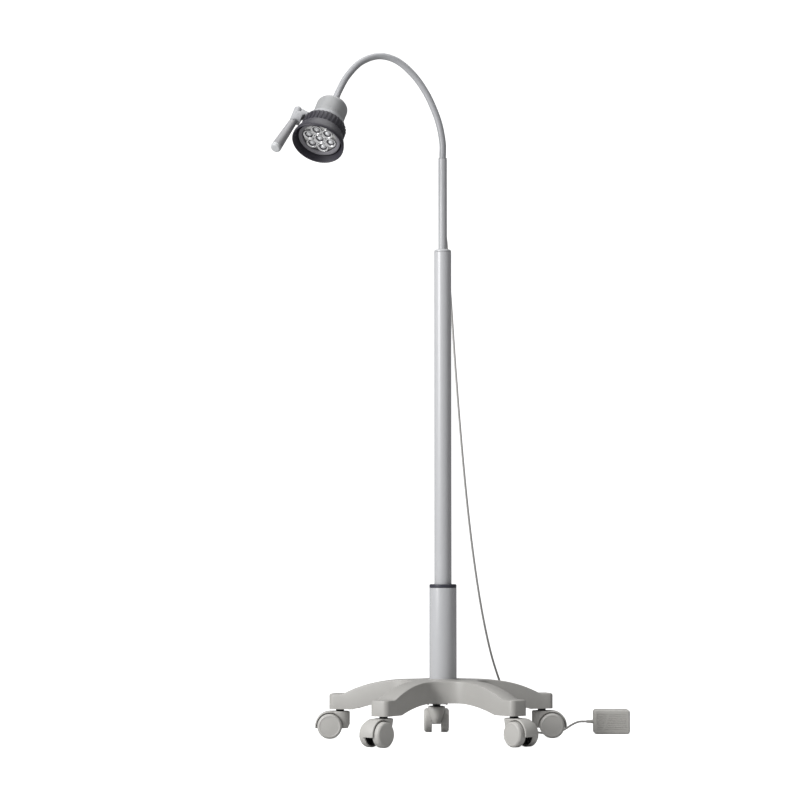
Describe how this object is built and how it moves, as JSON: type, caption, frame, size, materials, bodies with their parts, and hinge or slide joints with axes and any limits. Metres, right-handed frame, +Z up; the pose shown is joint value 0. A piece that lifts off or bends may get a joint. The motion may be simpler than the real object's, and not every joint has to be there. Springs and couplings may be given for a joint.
{
  "type": "examination lamp",
  "caption": "Floor-standing examination lamp: castor base, telescoping column, flexible neck, round focusing head with a handle, and a lead with a plug-in power supply.",
  "frame": {"origin": "middle of the lamp's footprint on the floor, without the lead and the power supply", "axes": "+Z up along the column, -Y the side the lamp head faces, +X to the right seen from that side"},
  "size_m": [0.8013, 0.5446, 1.5232],
  "materials": {
    "tube_paint": "satin powder coat",
    "head_shell": "satin paint",
    "bracket_paint": "fine satin",
    "base_plastic": "fine grain",
    "castor_plastic": "moulded",
    "black_plastic": "moulded",
    "steel": "plated",
    "sink_metal": "extruded",
    "sleeve": "smooth matt sleeve",
    "charcoal_plastic": "moulded with ribs",
    "holder_grey": "moulded",
    "board": "coated circuit board",
    "clear_lens": "polished",
    "handle_grey": "smooth",
    "end_cap": "smooth",
    "lead_sheath": "smooth matt sheath",
    "supply_plastic": "fine grain"
  },
  "bodies": {
    "base": {"star_base": "base_plastic", "base_tube": "tube_paint", "guide_collar": "black_plastic", "base_bolt": "steel", "castor_stem_1": "black_plastic", "castor_stem_2": "black_plastic", "castor_stem_3": "black_plastic", "castor_stem_4": "black_plastic", "castor_stem_5": "black_plastic", "power_cord": "lead_sheath", "supply_front_shell": "supply_plastic", "supply_back_shell": "supply_plastic", "supply_strain_relief": "supply_plastic", "supply_core": "steel", "plug_pin_left": "steel", "plug_pin_right": "steel"},
    "column": {"column_tube": "tube_paint", "column_foot_bush": "black_plastic", "column_cap": "tube_paint", "lamp_pole": "tube_paint", "cord_grommet": "black_plastic", "pole_top_bush": "black_plastic"},
    "neck_0": {"neck_link_0": "sleeve"},
    "neck_1": {"neck_link_1": "sleeve"},
    "neck_2": {"neck_link_2": "sleeve"},
    "neck_3": {"neck_link_3": "sleeve"},
    "neck_4": {"neck_link_4": "sleeve"},
    "head": {"neck_link_5": "sleeve", "rear_housing": "head_shell", "optic_barrel": "black_plastic", "heat_sink": "sink_metal", "led_board": "board", "lens_array": "clear_lens", "lens_holder_ring": "holder_grey", "handle_bracket": "bracket_paint", "handle_grip": "handle_grey", "grip_end_cap": "end_cap"},
    "focus": {"focus_ring": "charcoal_plastic"},
    "button": {"switch_button": "bracket_paint"},
    "castor_1": {"castor_hood_1": "castor_plastic", "castor_axle_1": "steel"},
    "wheel_left_1": {"castor_wheel_left_1": "castor_plastic"},
    "wheel_right_1": {"castor_wheel_right_1": "castor_plastic"},
    "castor_2": {"castor_hood_2": "castor_plastic", "castor_axle_2": "steel"},
    "wheel_left_2": {"castor_wheel_left_2": "castor_plastic"},
    "wheel_right_2": {"castor_wheel_right_2": "castor_plastic"},
    "castor_3": {"castor_hood_3": "castor_plastic", "castor_axle_3": "steel"},
    "wheel_left_3": {"castor_wheel_left_3": "castor_plastic"},
    "wheel_right_3": {"castor_wheel_right_3": "castor_plastic"},
    "castor_4": {"castor_hood_4": "castor_plastic", "castor_axle_4": "steel"},
    "wheel_left_4": {"castor_wheel_left_4": "castor_plastic"},
    "wheel_right_4": {"castor_wheel_right_4": "castor_plastic"},
    "castor_5": {"castor_hood_5": "castor_plastic", "castor_axle_5": "steel"},
    "wheel_left_5": {"castor_wheel_left_5": "castor_plastic"},
    "wheel_right_5": {"castor_wheel_right_5": "castor_plastic"}
  },
  "joints": [
    {"name": "column_slide", "type": "slide", "parent": "base", "child": "column", "axis": [0, 0, 1], "range_m": [0, 0.1]},
    {"name": "neck_swivel", "type": "hinge", "parent": "column", "child": "neck_0", "pos_m": [0.04825, -0.01966, 1.29], "axis": [0, 0, 1], "range_deg": [-170, 170]},
    {"name": "neck_flex_1", "type": "hinge", "parent": "neck_0", "child": "neck_1", "pos_m": [0.0394, -0.01964, 1.37036], "axis": [0.0008, 1, -0.0033], "range_deg": [-20, 20]},
    {"name": "neck_flex_2", "type": "hinge", "parent": "neck_1", "child": "neck_2", "pos_m": [0.00778, -0.02072, 1.4428], "axis": [0.854, -0.0039, 0.5203], "range_deg": [-20, 20]},
    {"name": "neck_flex_3", "type": "hinge", "parent": "neck_2", "child": "neck_3", "pos_m": [-0.04419, -0.02706, 1.50157], "axis": [-0.0825, 0.9909, 0.1067], "range_deg": [-20, 20]},
    {"name": "neck_flex_4", "type": "hinge", "parent": "neck_3", "child": "neck_4", "pos_m": [-0.11729, -0.04377, 1.5099], "axis": [-0.3297, -0.252, 0.9098], "range_deg": [-20, 20]},
    {"name": "neck_flex_5", "type": "hinge", "parent": "neck_4", "child": "head", "pos_m": [-0.1685, -0.0713, 1.45784], "axis": [-0.5811, 0.8094, -0.0848], "range_deg": [-20, 20]},
    {"name": "focus_turn", "type": "hinge", "parent": "head", "child": "focus", "pos_m": [-0.21844, -0.16745, 1.31978], "axis": [-0.2604, -0.5719, -0.7779], "range_deg": [0, 90]},
    {"name": "button_press", "type": "slide", "parent": "head", "child": "button", "axis": [-0.2604, -0.5719, -0.7779], "range_m": [0, 0.002], "stiffness_N_per_m": 800},
    {"name": "castor_swivel_1", "type": "hinge", "parent": "base", "child": "castor_1", "pos_m": [0.26995, 0.06411, 0.0605], "axis": [0, 0, 1], "continuous": true},
    {"name": "wheel_left_spin_1", "type": "hinge", "parent": "castor_1", "child": "wheel_left_1", "pos_m": [0.29245, 0.06411, 0.0275], "axis": [0, 1, 0], "continuous": true},
    {"name": "wheel_right_spin_1", "type": "hinge", "parent": "castor_1", "child": "wheel_right_1", "pos_m": [0.29245, 0.06411, 0.0275], "axis": [0, 1, 0], "continuous": true},
    {"name": "castor_swivel_2", "type": "hinge", "parent": "base", "child": "castor_2", "pos_m": [0.03708, 0.21708, 0.0605], "axis": [0, 0, 1], "continuous": true},
    {"name": "wheel_left_spin_2", "type": "hinge", "parent": "castor_2", "child": "wheel_left_2", "pos_m": [0.03708, 0.23958, 0.0275], "axis": [-1, 0, 0], "continuous": true},
    {"name": "wheel_right_spin_2", "type": "hinge", "parent": "castor_2", "child": "wheel_right_2", "pos_m": [0.03708, 0.23958, 0.0275], "axis": [-1, 0, 0], "continuous": true},
    {"name": "castor_swivel_3", "type": "hinge", "parent": "base", "child": "castor_3", "pos_m": [-0.18035, 0.04288, 0.0605], "axis": [0, 0, 1], "continuous": true},
    {"name": "wheel_left_spin_3", "type": "hinge", "parent": "castor_3", "child": "wheel_left_3", "pos_m": [-0.20285, 0.04288, 0.0275], "axis": [0, -1, 0], "continuous": true},
    {"name": "wheel_right_spin_3", "type": "hinge", "parent": "castor_3", "child": "wheel_right_3", "pos_m": [-0.20285, 0.04288, 0.0275], "axis": [0, -1, 0], "continuous": true},
    {"name": "castor_swivel_4", "type": "hinge", "parent": "base", "child": "castor_4", "pos_m": [-0.08187, -0.21775, 0.0605], "axis": [0, 0, 1], "continuous": true},
    {"name": "wheel_left_spin_4", "type": "hinge", "parent": "castor_4", "child": "wheel_left_4", "pos_m": [-0.09634, -0.23498, 0.0275], "axis": [0.766, -0.6428, 0], "continuous": true},
    {"name": "wheel_right_spin_4", "type": "hinge", "parent": "castor_4", "child": "wheel_right_4", "pos_m": [-0.09634, -0.23498, 0.0275], "axis": [0.766, -0.6428, 0], "continuous": true},
    {"name": "castor_swivel_5", "type": "hinge", "parent": "base", "child": "castor_5", "pos_m": [0.19643, -0.20462, 0.0605], "axis": [0, 0, 1], "continuous": true},
    {"name": "wheel_left_spin_5", "type": "hinge", "parent": "castor_5", "child": "wheel_left_5", "pos_m": [0.21089, -0.22186, 0.0275], "axis": [0.766, 0.6428, 0], "continuous": true},
    {"name": "wheel_right_spin_5", "type": "hinge", "parent": "castor_5", "child": "wheel_right_5", "pos_m": [0.21089, -0.22186, 0.0275], "axis": [0.766, 0.6428, 0], "continuous": true}
  ]
}
